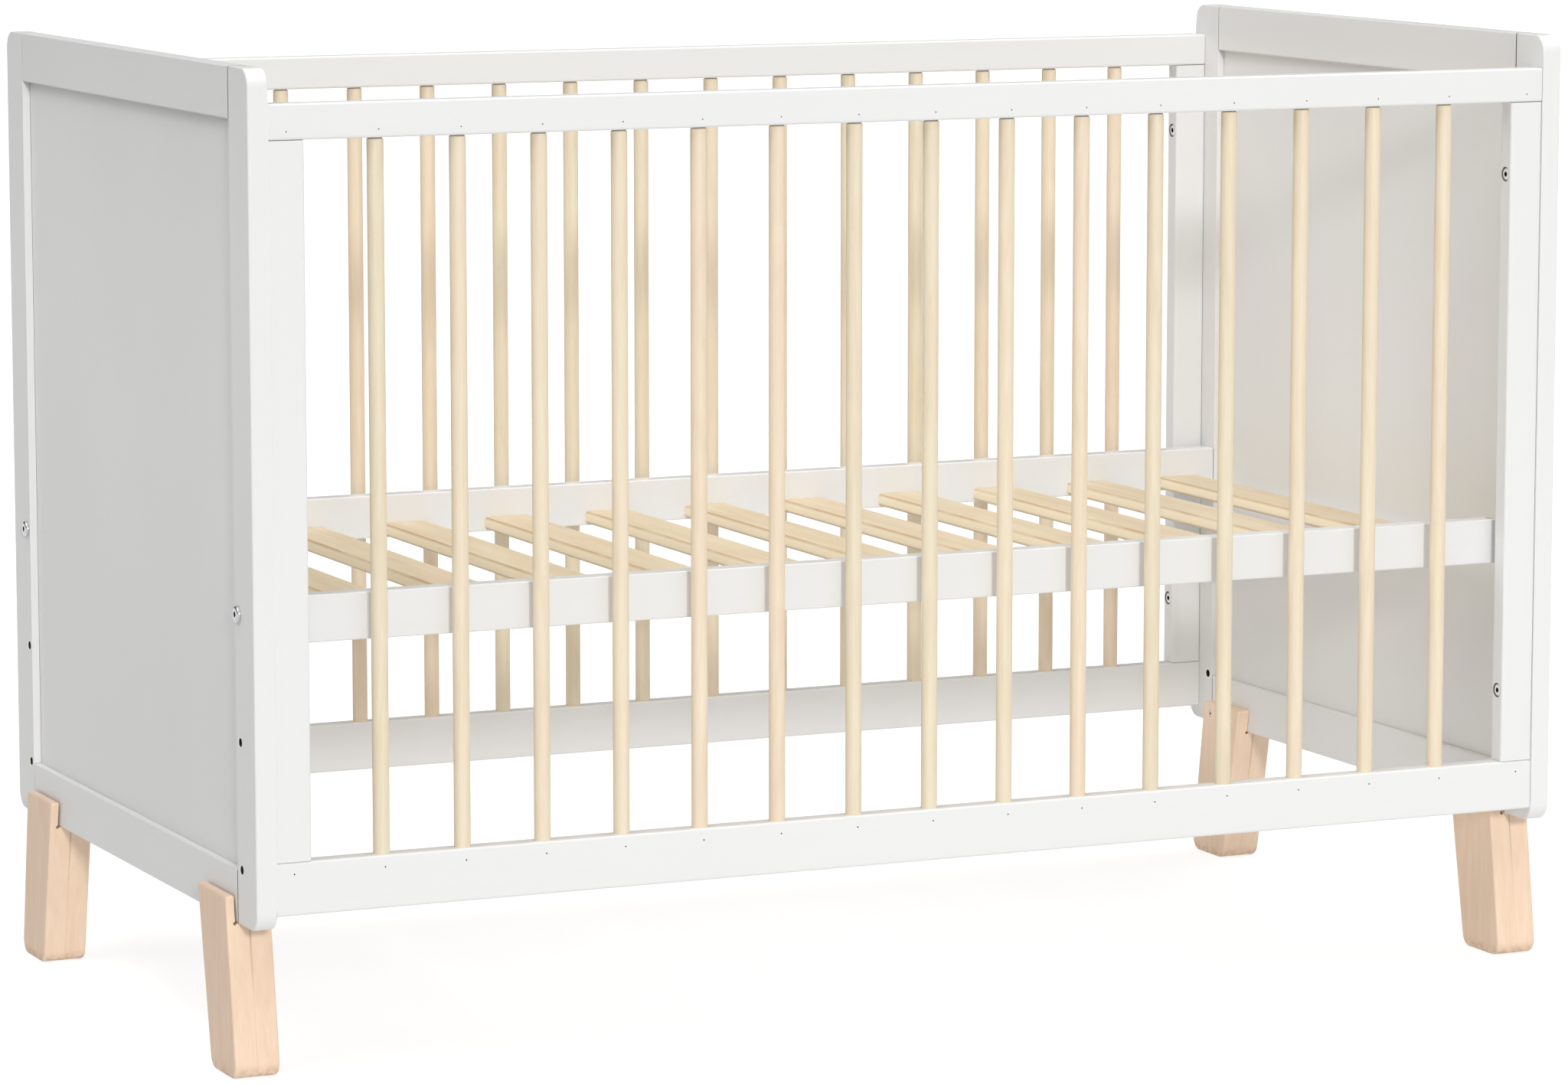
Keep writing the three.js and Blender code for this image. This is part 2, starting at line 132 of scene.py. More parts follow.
# Each sun's azimuth and elevation in degrees, strength, and width in degrees.
SUNS = {
    "key": (-11.0, 17.5, 1.2, 7.0),
    "overhead": (0.0, 84.0, 1.15, 80.0),
    "left": (-90.0, 50.0, 1.35, 60.0),
    "right": (90.0, 50.0, 0.95, 60.0),
    "front": (0.0, 30.0, 0.4, 60.0),
}
WORLD_STRENGTH = 0.11

CAMERA_PLACE = (-2.2437, -4.9238, 1.1256)
CAMERA_YAW = 24.552  # degrees, from +Y towards +X
CAMERA_PITCH = -7.8465
CAMERA_LENS = 137.9  # millimetres, on a sensor 36 mm wide

TOLERANCE = 0.0001  # for picking faces and edges by their place
NEAR = 0.0002
BEYOND = 0.001  # how far a cutting tool passes the face that it cuts
THROUGH = 1.0  # half the length of a tool that cuts right across a piece

ENDS = (("left", -1), ("right", 1))
FACES = (("front", -1), ("rear", 1))

half_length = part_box("end_right_top_rail")[1].x
half_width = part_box("end_left_post_rear")[1].y
inner_face_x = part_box("end_right_top_rail")[0].x


# ---- Repeatable variation --------------------------------------------------------------------

def vary(name, salt=0):
    """A steady number from 0 to 1 for a piece's name."""
    total = 17 + salt * 101
    for letter in name:
        total = (total * 31 + ord(letter)) % 1000003
    return (total % 9973) / 9973


# ---- Material nodes --------------------------------------------------------------------------

class Graph:
    """Short calls for wiring one material."""

    def __init__(self, name):
        self.material = bpy.data.materials.new(name)
        self.material.use_nodes = True
        self.tree = self.material.node_tree
        self.shader = self.tree.nodes["Principled BSDF"]

    def node(self, kind, **settings):
        made = self.tree.nodes.new(kind)
        for key, value in settings.items():
            setattr(made, key, value)
        return made

    def link(self, out_socket, in_socket):
        self.tree.links.new(out_socket, in_socket)

    def attribute(self, name):
        return self.node("ShaderNodeAttribute", attribute_type="GEOMETRY", attribute_name=name)

    def stretched(self, vector, scale):
        made = self.node("ShaderNodeMapping")
        made.inputs["Scale"].default_value = scale
        self.link(vector, made.inputs["Vector"])
        return made.outputs["Vector"]

    def noise(self, vector, scale, detail=3.0, roughness=0.5, distortion=0.0):
        made = self.node("ShaderNodeTexNoise")
        made.inputs["Scale"].default_value = scale
        made.inputs["Detail"].default_value = detail
        made.inputs["Roughness"].default_value = roughness
        made.inputs["Distortion"].default_value = distortion
        self.link(vector, made.inputs["Vector"])
        return made.outputs["Fac"]

    def ramp(self, value, stops):
        made = self.node("ShaderNodeValToRGB")
        band = made.color_ramp
        while len(band.elements) < len(stops):
            band.elements.new(0.5)
        for element, (position, colour) in zip(band.elements, stops):
            element.position = position
            element.color = (*colour, 1.0)
        self.link(value, made.inputs["Fac"])
        return made.outputs["Color"]

    def span(self, value, low, high, new_low, new_high):
        made = self.node("ShaderNodeMapRange", interpolation_type="SMOOTHSTEP")
        sockets = ("From Min", "From Max", "To Min", "To Max")
        for socket, number in zip(sockets, (low, high, new_low, new_high)):
            made.inputs[socket].default_value = number
        self.link(value, made.inputs["Value"])
        return made.outputs["Result"]

    def mix(self, kind, factor, a, b):
        made = self.node("ShaderNodeMix", data_type="RGBA", blend_type=kind)
        for value, socket in ((factor, made.inputs[0]), (a, made.inputs[6]), (b, made.inputs[7])):
            if isinstance(value, bpy.types.NodeSocket):
                self.link(value, socket)
            else:
                socket.default_value = value if isinstance(value, float) else (*value, 1.0)
        return made.outputs[2]

    def maths(self, operation, a, b=0.0):
        made = self.node("ShaderNodeMath", operation=operation)
        for value, socket in ((a, made.inputs[0]), (b, made.inputs[1])):
            if isinstance(value, bpy.types.NodeSocket):
                self.link(value, socket)
            else:
                socket.default_value = value
        return made.outputs[0]

    def bump(self, height, strength, distance):
        made = self.node("ShaderNodeBump")
        made.inputs["Strength"].default_value = strength
        made.inputs["Distance"].default_value = distance
        self.link(height, made.inputs["Height"])
        self.link(made.outputs["Normal"], self.shader.inputs["Normal"])

    def edge_mask(self, radius):
        """0 on flat faces, rising towards 1 on edges, from how far the rounded normal leans."""
        rounded = self.node("ShaderNodeBevel", samples=4)
        rounded.inputs["Radius"].default_value = radius
        geometry = self.node("ShaderNodeNewGeometry")
        dot = self.node("ShaderNodeVectorMath", operation="DOT_PRODUCT")
        self.link(rounded.outputs["Normal"], dot.inputs[0])
        self.link(geometry.outputs["Normal"], dot.inputs[1])
        return self.span(dot.outputs["Value"], 0.99, 0.80, 0.0, 1.0)


def lacquer(name, colour, roughness, place_from="grain"):
    """White satin lacquer: smooth, with faint long grain under it.
    Its edges are painted a little brighter, as a painted highlight.
    """
    g = Graph(name)
    if place_from == "grain":
        place = g.attribute("grain").outputs["Vector"]
    else:
        place = g.node("ShaderNodeTexCoord").outputs["Object"]
    fibre = g.noise(g.stretched(place, (1.0, 1.0, 0.02)), 150.0, 2.0, 0.5, 0.2)
    cloud = g.noise(place, 4.0, 2.0, 0.5)
    base = g.mix("MIX", g.span(cloud, 0.20, 0.80, 0.0, 1.0), colour, tuple(c * 0.985 for c in colour))
    base = g.mix("MIX", g.span(fibre, 0.30, 0.80, 0.0, 0.5), base, tuple(c * 0.98 for c in colour))
    # Painted highlight: the edges are painted a little brighter than the flat faces.
    painted_edge_highlight = tuple(min(1.0, c * 1.10) for c in colour)
    base = g.mix("MIX", g.maths("MULTIPLY", g.edge_mask(0.0012), 0.8), base, painted_edge_highlight)
    g.link(base, g.shader.inputs["Base Color"])
    g.link(g.span(cloud, 0.15, 0.85, roughness - 0.03, roughness + 0.05), g.shader.inputs["Roughness"])
    g.bump(g.maths("ADD", fibre, g.maths("MULTIPLY", g.noise(place, 420.0, 2.0, 0.5), 0.3)), 0.05, 0.0001)
    return g.material


def natural_wood(name, light, dark, streak, band, roughness, knots=0.0, lit_sides_and_arris_line=False, glue_line_shade_and_scuff=False):
    """Clear-finished wood: soft bands and fine streaks along the grain, blotches, tone by piece and knots.
    One option paints a board's sides lighter, as painted light on them, and a brown line along its eased
    edges.
    Another gives a glued-up block its glue line, darker towards the top as painted shade under the frame,
    and a scuffed foot."""
    g = Graph(name)
    place = g.attribute("grain").outputs["Vector"]
    streaks = g.noise(g.stretched(place, (1.0, 1.0, 0.02)), streak, 4.0, 0.62, 0.3)
    bands = g.noise(g.stretched(place, (1.0, 1.0, 0.09)), band, 3.0, 0.55, 2.2)
    blotches = g.noise(g.stretched(place, (1.0, 1.0, 0.45)), 26.0, 2.0, 0.5, 0.8)
    pores = g.noise(g.stretched(place, (1.0, 1.0, 0.05)), 1100.0, 3.0, 0.6)
    figure = g.maths("ADD", g.maths("MULTIPLY", streaks, 0.35), g.maths("MULTIPLY", bands, 0.65))
    base = g.mix("MIX", g.span(figure, 0.30, 0.75, 0.0, 1.0), light, dark)
    base = g.mix("MIX", g.span(pores, 0.56, 0.74, 0.0, 0.25), base, tuple(c * 0.80 for c in dark))
    flush = g.ramp(blotches, ((0.30, (1.0, 1.0, 1.0)), (0.70, (0.985, 0.955, 0.955))))
    base = g.mix("MULTIPLY", 1.0, base, flush)
    tone = g.attribute("tone").outputs["Fac"]
    tints = ((0.0, (0.94, 0.955, 0.93)), (0.5, (0.985, 0.98, 0.97)), (1.0, (1.0, 0.955, 0.945)))
    base = g.mix("MULTIPLY", 1.0, base, g.ramp(tone, tints))
    if knots > 0.0:
        spot = g.node("ShaderNodeTexVoronoi", feature="F1")
        spot.inputs["Scale"].default_value = 7.0
        g.link(g.stretched(place, (1.0, 1.0, 0.5)), spot.inputs["Vector"])
        knot = g.span(spot.outputs["Distance"], 0.008, 0.030, knots, 0.0)
        base = g.mix("MIX", knot, base, tuple(c * 0.5 for c in dark))
    if glue_line_shade_and_scuff:
        offset = g.maths("ABSOLUTE", g.attribute("glue").outputs["Fac"])
        height = g.node("ShaderNodeSeparateXYZ")
        g.link(g.node("ShaderNodeTexCoord").outputs["Object"], height.inputs["Vector"])
        # Painted shade: the real glue line darkens towards the top, as the shade under the frame.
        depth = g.span(height.outputs["Z"], 0.060, FORK_BOTTOM, 0.12, 0.65)
        line = g.maths("MULTIPLY", g.span(offset, 0.0003, 0.0012, 1.0, 0.0), depth)
        base = g.mix("MIX", line, base, tuple(c * 0.55 for c in dark))
        low = g.span(height.outputs["Z"], 0.0, 0.012, 0.70, 0.0)
        patches = g.span(g.noise(place, 170.0, 4.0, 0.65), 0.38, 0.62, 0.0, 1.0)
        base = g.mix("MIX", g.maths("MULTIPLY", low, patches), base, (0.52, 0.33, 0.20))
    if lit_sides_and_arris_line:
        facing = g.node("ShaderNodeSeparateXYZ")
        g.link(g.node("ShaderNodeNewGeometry").outputs["Normal"], facing.inputs["Vector"])
        upright = g.maths("ABSOLUTE", facing.outputs["Z"])
        # Painted light: the board's sides, away from its top and bottom faces, are painted lighter as the
        # light on them.
        side = tuple(min(1.0, c * 1.22) for c in light)
        base = g.mix("MIX", g.span(upright, 0.20, 0.60, 1.0, 0.0), base, side)
        above, below = g.span(upright, 0.58, 0.72, 0.0, 0.9), g.span(upright, 0.80, 0.92, 1.0, 0.0)
        eased = g.maths("MULTIPLY", above, below)
        broken = g.span(blotches, 0.35, 0.60, 0.35, 1.0)
        base = g.mix("MIX", g.maths("MULTIPLY", eased, broken), base, (0.54, 0.35, 0.19))
    worn = tuple(c * 0.80 for c in dark)
    base = g.mix("MIX", g.maths("MULTIPLY", g.edge_mask(0.001), 0.30), base, worn)
    g.link(base, g.shader.inputs["Base Color"])
    g.link(g.span(streaks, 0.3, 0.7, roughness - 0.05, roughness + 0.07), g.shader.inputs["Roughness"])
    g.bump(g.maths("ADD", pores, streaks), 0.08, 0.00015)
    return g.material


def plated(name, colour, roughness, metallic):
    """Bright plated steel, duller in patches, with fine handling marks."""
    g = Graph(name)
    place = g.attribute("grain").outputs["Vector"]
    dull = g.noise(place, 500.0, 3.0, 0.6)
    tint = g.mix("MIX", g.span(dull, 0.3, 0.7, 0.0, 1.0), colour, tuple(c * 0.86 for c in colour))
    g.link(tint, g.shader.inputs["Base Color"])
    g.shader.inputs["Metallic"].default_value = metallic
    g.link(g.span(dull, 0.3, 0.7, roughness, roughness + 0.12), g.shader.inputs["Roughness"])
    g.bump(g.noise(place, 2600.0, 2.0, 0.5), 0.08, 0.00005)
    return g.material


def hollow_shade(name, colour):
    """Painted shade: a flat dark colour for the inside of a hole, socket, bore or joint, with a little
    dust.
    """
    g = Graph(name)
    dust = g.noise(g.attribute("grain").outputs["Vector"], 900.0, 2.0, 0.5)
    g.link(g.mix("MIX", dust, colour, tuple(c * 2.0 for c in colour)), g.shader.inputs["Base Color"])
    g.link(g.span(dust, 0.3, 0.7, 0.75, 0.95), g.shader.inputs["Roughness"])
    g.bump(dust, 0.2, 0.0001)
    return g.material


white = lacquer("frame_white", (0.815, 0.815, 0.808), 0.34)
panel_white = lacquer("panel_white", (0.805, 0.804, 0.796), 0.33, "object")
spindle_wood = natural_wood("spindle_wood", (0.860, 0.768, 0.595), (0.790, 0.682, 0.505), 420.0, 60.0, 0.50)
slat_wood = natural_wood("slat_wood", (0.790, 0.685, 0.500), (0.715, 0.580, 0.390), 230.0, 40.0, 0.58,
                         knots=0.45, lit_sides_and_arris_line=True)
leg_wood = natural_wood("leg_wood", (0.915, 0.735, 0.560), (0.840, 0.645, 0.470), 330.0, 45.0, 0.46,
                        knots=0.35, glue_line_shade_and_scuff=True)
chrome = plated("bolt_chrome", (0.86, 0.86, 0.87), 0.14, 1.0)
zinc = plated("bolt_zinc", (0.96, 0.955, 0.94), 0.30, 0.25)
# Painted shade: black for holes and sockets, dark grey for the bores, the rail joints and the spindles'
# necks, and grey for the top rails' pin holes.
dark_hole = hollow_shade("dark_hole", (0.012, 0.011, 0.010))
shaded_bore = hollow_shade("shaded_bore", (0.16, 0.155, 0.15))
pin_filler = hollow_shade("pin_filler", (0.24, 0.235, 0.22))
# Painted highlight: a whiter lacquer for the holes' chamfered rings.
bare_ring = lacquer("bare_ring", (0.92, 0.91, 0.88), 0.50)


# ---- Mesh helpers ----------------------------------------------------------------------------

AXES = {
    "x": (Vector((0, 1, 0)), Vector((0, 0, 1)), Vector((1, 0, 0))),
    "y": (Vector((1, 0, 0)), Vector((0, 0, 1)), Vector((0, 1, 0))),
    "z": (Vector((1, 0, 0)), Vector((0, 1, 0)), Vector((0, 0, 1))),
}


def rounded(corners, radii, steps=8):
    """A polygon with each corner rounded by its own radius, as a list of 2-D points."""
    points = []
    count = len(corners)
    for i, corner in enumerate(corners):
        here = Vector(corner)
        to_before = (Vector(corners[i - 1]) - here).normalized()
        to_after = (Vector(corners[(i + 1) % count]) - here).normalized()
        if radii[i] <= 0:
            points.append(here)
            continue
        half = math.acos(max(-1.0, min(1.0, to_before.dot(to_after)))) / 2
        setback = radii[i] / math.tan(half)
        centre = here + (to_before + to_after).normalized() * (radii[i] / math.sin(half))
        start = here + to_before * setback - centre
        end = here + to_after * setback - centre
        first = math.atan2(start.y, start.x)
        turn = math.atan2(end.y, end.x) - first
        turn = math.atan2(math.sin(turn), math.cos(turn))
        for k in range(steps + 1):
            angle = first + turn * k / steps
            points.append(centre + Vector((math.cos(angle), math.sin(angle))) * radii[i])
    return points


def rectangle(low_a, high_a, low_b, high_b):
    corners = ((low_a, low_b), (high_a, low_b), (high_a, high_b), (low_a, high_b))
    return [Vector(corner) for corner in corners]


def new_object(name, mesh):
    made = bpy.data.objects.new(name, mesh)
    bpy.context.scene.collection.objects.link(made)
    return made


def prism(name, outline, axis, low, high):
    """An outline drawn across an axis, given thickness along it."""
    first, second, along = AXES[axis]
    shape = bmesh.new()
    rings = []
    for place in (low, high):
        rings.append([shape.verts.new(first * p[0] + second * p[1] + along * place) for p in outline])
    shape.faces.new(list(reversed(rings[0])))
    shape.faces.new(rings[1])
    count = len(outline)
    for i in range(count):
        j = (i + 1) % count
        shape.faces.new((rings[0][i], rings[0][j], rings[1][j], rings[1][i]))
    bmesh.ops.recalc_face_normals(shape, faces=shape.faces)
    mesh = bpy.data.meshes.new(name)
    shape.to_mesh(mesh)
    shape.free()
    return new_object(name, mesh)


def lathe(name, profile, axis, centre, sides=32):
    """A solid turned about an axis, closed at its ends. profile lists (distance along the axis, radius)."""
    first, second, along = AXES[axis]
    shape = bmesh.new()
    rings = []
    for distance, radius in profile:
        ring = []
        for k in range(sides):
            angle = 2 * math.pi * k / sides
            spoke = first * math.cos(angle) + second * math.sin(angle)
            ring.append(shape.verts.new(centre + along * distance + spoke * radius))
        rings.append(ring)
    for a, b in zip(rings, rings[1:]):
        for k in range(sides):
            m = (k + 1) % sides
            shape.faces.new((a[k], a[m], b[m], b[k]))
    shape.faces.new(rings[0])
    shape.faces.new(rings[-1])
    bmesh.ops.recalc_face_normals(shape, faces=shape.faces)
    mesh = bpy.data.meshes.new(name)
    shape.to_mesh(mesh)
    shape.free()
    return new_object(name, mesh)


def settle(obj):
    """Applies an object's modifiers to its mesh."""
    graph = bpy.context.evaluated_depsgraph_get()
    mesh = bpy.data.meshes.new_from_object(obj.evaluated_get(graph))
    obj.modifiers.clear()
    obj.data = mesh


def round_edges(obj, width, choose=None, segments=3):
    """Rounds the corner edges of a board, or only those whose middle the choose test picks."""
    shape = bmesh.new()
    shape.from_mesh(obj.data)
    picked = []
    for edge in shape.edges:
        middle = (edge.verts[0].co + edge.verts[1].co) / 2
        if edge.calc_face_angle(0.0) > math.radians(40) and (choose is None or choose(middle)):
            picked.append(edge)
    bmesh.ops.bevel(shape, geom=picked, offset=width, offset_type="OFFSET", segments=segments, profile=0.5,
                    affect="EDGES", clamp_overlap=True)
    shape.to_mesh(obj.data)
    shape.free()


def combine(obj, tools, operation):
    """Joins the tools' shapes to obj, or cuts them out of it, and removes the tools."""
    for tool in tools:
        boolean = obj.modifiers.new("combine", "BOOLEAN")
        boolean.operation = operation
        boolean.solver = "EXACT"
        boolean.object = tool
    settle(obj)
    for tool in tools:
        bpy.data.objects.remove(tool)


def cut(obj, tools):
    combine(obj, tools, "DIFFERENCE")


def between(a, b):
    """Two numbers, lowest first."""
    return min(a, b), max(a, b)


def near_middle(place, low, high):
    """Whether a place lies in the middle half of a span, as the middle of an edge along it does."""
    return abs(place - (low + high) / 2) < (high - low) / 4


def hexagon(y, z, across):
    """A hexagon across the X axis, as a list of 2-D points."""
    radius = across / math.sqrt(3)
    return [Vector((y + radius * math.cos(k * math.pi / 3), z + radius * math.sin(k * math.pi / 3)))
            for k in range(6)]


def smooth(obj, angle=35):
    """Smooth shading that keeps the flats flat."""
    for face in obj.data.polygons:
        face.use_smooth = True
    obj.data.set_sharp_from_angle(angle=math.radians(angle))
    weighted = obj.modifiers.new("flats", "WEIGHTED_NORMAL")
    weighted.keep_sharp = True


def finish_piece(obj, material, body, grain_axis="z", stands_for=(), tone=None):
    """Writes a piece's grain direction and tone, and gives it its material, body and slot."""
    mesh = obj.data
    shift = Vector((vary(obj.name, 1), vary(obj.name, 2), vary(obj.name, 3))) * 9.0
    order = {"x": (1, 2, 0), "y": (0, 2, 1), "z": (0, 1, 2)}[grain_axis]
    places = []
    for vertex in mesh.vertices:
        places.extend(vertex.co[order[i]] + shift[i] for i in range(3))
    grain = mesh.attributes.new("grain", "FLOAT_VECTOR", "POINT")
    grain.data.foreach_set("vector", places)
    level = vary(obj.name, 4) if tone is None else tone
    tones = mesh.attributes.new("tone", "FLOAT", "POINT")
    tones.data.foreach_set("value", [level] * len(mesh.vertices))
    mesh.materials.clear()
    mesh.materials.append(material)
    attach(obj, body)
    if stands_for:
        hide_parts(*stands_for)
    return obj


def paint(obj, material, chosen):
    """Gives a second material to the faces that the chosen test picks by their middle and normal."""
    obj.data.materials.append(material)
    index = len(obj.data.materials) - 1
    for face in obj.data.polygons:
        if chosen(face.center, face.normal):
            face.material_index = index


def off_axis(point, y, z):
    """How far a point is from a line along X."""
    return math.hypot(point.y - y, point.z - z)


# ---- Ends ------------------------------------------------------------------------------------

def build_post(node, side, face):
    low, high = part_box(node)
    outer_y = face * half_width
    inner_y = low.y if face > 0 else high.y
    corners = [(outer_y, low.z), (inner_y, low.z), (inner_y, high.z), (outer_y, high.z)]
    post = prism(node + ".board", rounded(corners, [POST_CORNER, 0, 0, POST_CORNER]), "x", low.x, high.x)
    inner_x = low.x if side > 0 else high.x

    def beside_side_frame(p):
        return abs(p.x - inner_x) < TOLERANCE and abs(p.y - outer_y) < TOLERANCE

    def beside_end_rail(p):
        return abs(p.y - inner_y) < TOLERANCE and near_middle(p.z, low.z, high.z)

    round_edges(post, EDGE, lambda p: abs(p.y - inner_y) > BEYOND and not beside_side_frame(p))
    round_edges(post, JOINT_EDGE, beside_side_frame)
    round_edges(post, JOINT_EDGE, beside_end_rail)
    mid_x = (low.x + high.x) / 2
    groove_y = between(inner_y - face * BEYOND, inner_y + face * GROOVE_DEPTH)
    outline = rectangle(*groove_y, low.z + GROOVE_STOP, high.z - GROOVE_STOP)
    tools = [prism("groove", outline, "x", mid_x - GROOVE / 2, mid_x + GROOVE / 2)]
    bolt_y = face * (half_width - BASE_BOLT_INSET)
    rim = BASE_HOLE_RING / 2
    depth = (rim - BASE_HOLE / 2) * BASE_HOLE_SLOPE
    wide = rim + 2 * BEYOND
    for z in BASE_HEIGHTS:
        profile = [(low.x - BEYOND, wide), (low.x, rim), (low.x + depth, BASE_HOLE / 2),
                   (high.x - depth, BASE_HOLE / 2), (high.x, rim), (high.x + BEYOND, wide)]
        tools.append(lathe("hole", profile, "x", Vector((0, bolt_y, z)), 32))
    cut(post, tools)
    smooth(post)
    finish_piece(post, white, "crib_frame", "z", (node,))

    def off_hole(point):
        return min(off_axis(point, bolt_y, z) for z in BASE_HEIGHTS)

    def in_hole(point, normal):
        return abs(normal.x) < 0.5 and off_hole(point) < BASE_HOLE / 2 + NEAR

    def in_rim(point, normal):
        return 0.3 < abs(normal.x) < 0.99 and off_hole(point) < rim + NEAR and not in_hole(point, normal)

    # Painted shade and highlight: the holes' walls are black as their shade, their chamfered rings whiter
    # as a highlight.
    paint(post, dark_hole, in_hole)
    paint(post, bare_ring, in_rim)


def build_end_rail(node, grooved_edge):
    """An end rail with a tongue at each end and a groove for the panel along one edge. Its end faces are
    painted dark grey, as painted shade in the open line along each post."""
    low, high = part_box(node)
    reach = half_width - POST_WIDTH - JOINT
    mid_x = (low.x + high.x) / 2
    rail = prism(node + ".board", rectangle(-reach, reach, low.z, high.z), "x", low.x, high.x)
    round_edges(rail, EDGE, lambda p: near_middle(p.y, -reach, reach))
    outline = rectangle(low.y, high.y, low.z + GROOVE_STOP + GAP, high.z - GROOVE_STOP - GAP)
    tongue = prism("tongue", outline, "x", mid_x - GROOVE / 2 + GAP, mid_x + GROOVE / 2 - GAP)
    combine(rail, [tongue], "UNION")
    inward = -1 if grooved_edge == high.z else 1
    groove_z = between(grooved_edge - inward * BEYOND, grooved_edge + inward * GROOVE_DEPTH)
    outline = rectangle(-THROUGH, THROUGH, *groove_z)
    cut(rail, [prism("groove", outline, "x", mid_x - GROOVE / 2, mid_x + GROOVE / 2)])
    smooth(rail)
    finish_piece(rail, white, "crib_frame", "y", (node,))

    def at_joint(point, normal):
        return abs(normal.y) > 0.9 and abs(abs(point.y) - reach) < TOLERANCE

    # Painted shade: the rail's end faces are painted dark grey for the open line along each post.
    paint(rail, shaded_bore, at_joint)


def build_ends():
    for end, side in ENDS:
        for face_name, face in FACES:
            build_post("end_%s_post_%s" % (end, face_name), side, face)
        top = "end_%s_top_rail" % end
        bottom = "end_%s_bottom_rail" % end
        build_end_rail(top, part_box(top)[0].z)
        build_end_rail(bottom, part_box(bottom)[1].z)


# ---- Sides -----------------------------------------------------------------------------------

def spindle_x(index):
    return (index - (SPINDLES - 1) / 2) * SPINDLE_PITCH


def build_side_rail(node, face, pin_z, pin_shade_material):
    low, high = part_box(node)
    rail = prism(node + ".board", rectangle(low.x, high.x, low.z, high.z), "y", low.y, high.y)
    round_edges(rail, SIDE_EDGE, lambda p: near_middle(p.x, low.x, high.x))
    outer_y = low.y if face < 0 else high.y
    stile_x = high.x - STILE_WIDTH / 2
    tools = []
    for x in [spindle_x(i) for i in range(SPINDLES)] + [-stile_x, stile_x]:
        profile = [(depth, PIN / 2) for depth in between(-face * PIN_DEPTH, face * BEYOND)]
        tools.append(lathe("pin", profile, "y", Vector((x, outer_y, pin_z)), 10))
    cut(rail, tools)
    smooth(rail)
    finish_piece(rail, white, "crib_frame", "x", (node,))

    def in_pin(point, normal):
        depth = abs(point.y - outer_y)
        return abs(point.z - pin_z) < PIN * 0.6 and TOLERANCE / 2 < depth < PIN_DEPTH + TOLERANCE

    # Painted shade: the pin holes are painted dark as their shade, grey in the top rails and black in the
    # bottom rails.
    paint(rail, pin_shade_material, in_pin)


def build_stile(node, side, face):
    where = "front" if face < 0 else "rear"
    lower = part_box("side_%s_bottom_rail" % where)
    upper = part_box("side_%s_top_rail" % where)
    end_x = side * upper[1].x
    edge_x = end_x - side * STILE_WIDTH
    low_z, high_z = lower[1].z + GAP, upper[0].z - GAP
    y = (upper[0].y + upper[1].y) / 2
    outline = rectangle(*between(end_x, edge_x), low_z, high_z)
    stile = prism(node + ".board", outline, "y", upper[0].y, upper[1].y)

    def upright(p):
        return near_middle(p.z, low_z, high_z)

    round_edges(stile, SIDE_EDGE, lambda p: upright(p) and abs(p.x - end_x) > BEYOND)
    round_edges(stile, JOINT_EDGE, lambda p: upright(p) and abs(p.x - end_x) < TOLERANCE)
    floor_x = edge_x + side * SIDE_BOLT_BORE_DEPTH
    tools = []
    for z in SIDE_BOLT_HEIGHTS:
        profile = [(x, SIDE_BOLT_BORE / 2) for x in between(edge_x - side * BEYOND, floor_x)]
        tools.append(lathe("bore", profile, "x", Vector((0, y, z)), 32))
    cut(stile, tools)
    smooth(stile)
    finish_piece(stile, white, "crib_frame", "z", (node,))

    def in_bore(point, normal):
        near = min(off_axis(point, y, z) for z in SIDE_BOLT_HEIGHTS)
        return near < SIDE_BOLT_BORE / 2 + NEAR and abs(point.x - edge_x) > TOLERANCE

    paint(stile, shaded_bore, in_bore)
    for number, z in enumerate(SIDE_BOLT_HEIGHTS, 1):
        build_head("%s.bolt_%d" % (node, number), floor_x, -side, y, z, SIDE_BOLT_HEAD, SIDE_BOLT_HEIGHT,
                   SIDE_BOLT_SOCKET, zinc, flat=0.62)


def build_head(name, seat, out, y, z, across, height, socket, material, flat=0.55, stands_for=()):
    """A screw or bolt head that rises from its seat along X, with a hexagon socket.
    flat is the share of its width that the crown's flat top takes."""
    radius = across / 2
    crown = radius * flat
    skirt, steps = 0.55, 5
    pairs = [(0.0, radius), (height * skirt, radius)]
    for k in range(1, steps + 1):
        angle = math.pi / 2 * k / steps
        rise = height * (skirt + (1 - skirt) * math.sin(angle))
        pairs.append((rise, crown + (radius - crown) * math.cos(angle)))
    profile = [(seat + out * along, r) for along, r in pairs]
    if out < 0:
        profile.reverse()
    head = lathe(name, profile, "x", Vector((0, y, z)), 40)
    top = seat + out * height
    depth = min(SOCKET_DEPTH, height * SOCKET_SHARE)
    ends = between(top + out * BEYOND, top - out * depth)
    cut(head, [prism("socket", hexagon(y, z, socket), "x", *ends)])
    smooth(head, 40)
    finish_piece(head, material, "crib_frame", "x", stands_for)
    inside = socket / math.sqrt(3) + TOLERANCE

    def in_socket(point, normal):
        sunk = abs(point.x - top) > TOLERANCE / 2 and (point.x - seat) * out > TOLERANCE
        return off_axis(point, y, z) < inside and sunk

    # Painted shade: the socket is painted black as its shade.
    paint(head, dark_hole, in_socket)


